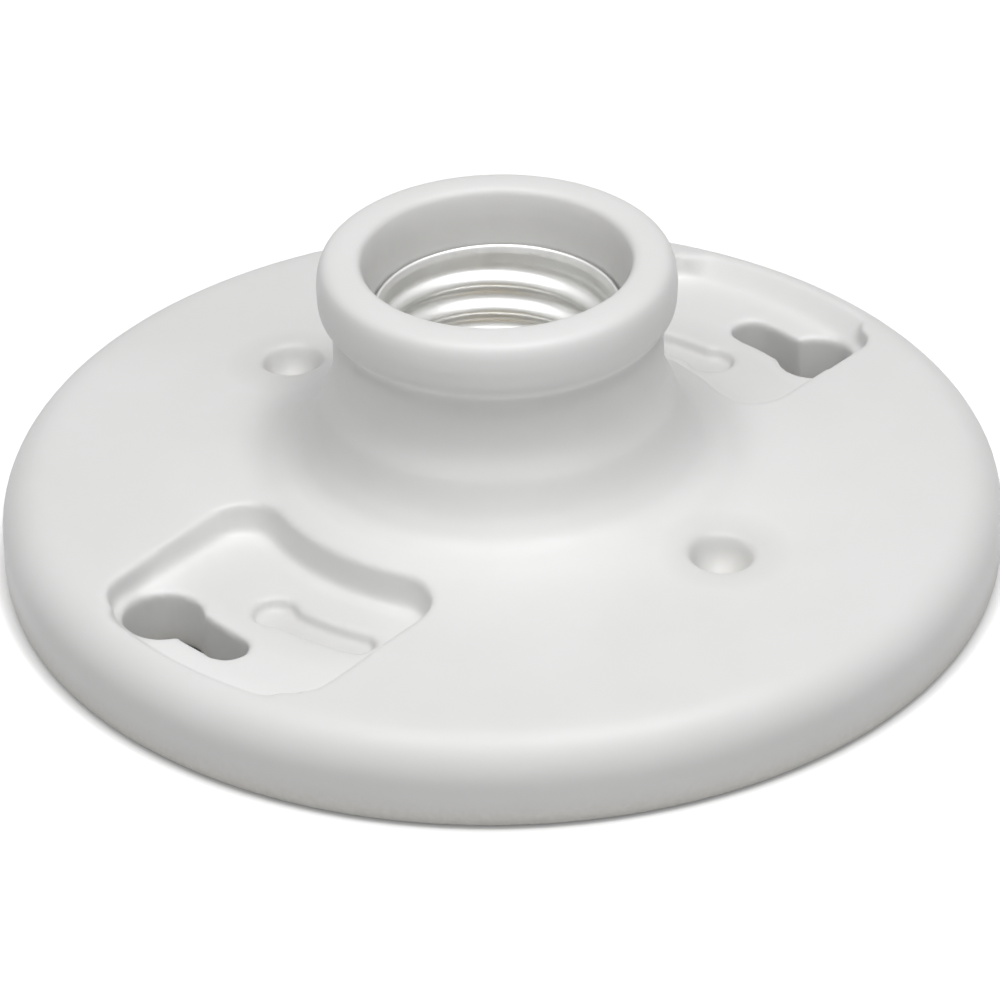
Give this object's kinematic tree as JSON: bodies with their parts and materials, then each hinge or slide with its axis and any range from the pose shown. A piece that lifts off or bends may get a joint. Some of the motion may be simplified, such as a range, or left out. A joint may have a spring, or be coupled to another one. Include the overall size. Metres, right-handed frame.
{
  "type": "porcelain keyless lampholder",
  "caption": "Round glazed porcelain lampholder with a beaded collar, a medium screw shell, and keyhole pockets in the flange for fixing it over an outlet box.",
  "frame": {"origin": "centre of the round mounting face, on the socket axis", "axes": "+Z along the socket axis, out of its mouth; +X through the middle of one mounting pocket; +Y towards the neutral terminal"},
  "size_m": [0.1142, 0.1142, 0.0381],
  "materials": {
    "porcelain": "gloss",
    "shell_metal": "polished",
    "brass": "satin",
    "nickel_plate": "satin"
  },
  "bodies": {
    "lampholder": {"porcelain_body": "porcelain", "screw_shell": "shell_metal", "centre_contact": "brass", "contact_rivet": "brass", "shell_rivets": "nickel_plate", "neutral_terminal": "nickel_plate", "line_terminal": "brass"},
    "neutral_screw": {"neutral_terminal_screw": "nickel_plate"},
    "line_screw": {"line_terminal_screw": "brass"}
  },
  "joints": [
    {"name": "neutral_screw_travel", "type": "slide", "parent": "lampholder", "child": "neutral_screw", "axis": [0, 0, -1], "range_m": [0, 0.00317]},
    {"name": "line_screw_travel", "type": "slide", "parent": "lampholder", "child": "line_screw", "axis": [0, 0, -1], "range_m": [0, 0.00317]}
  ]
}
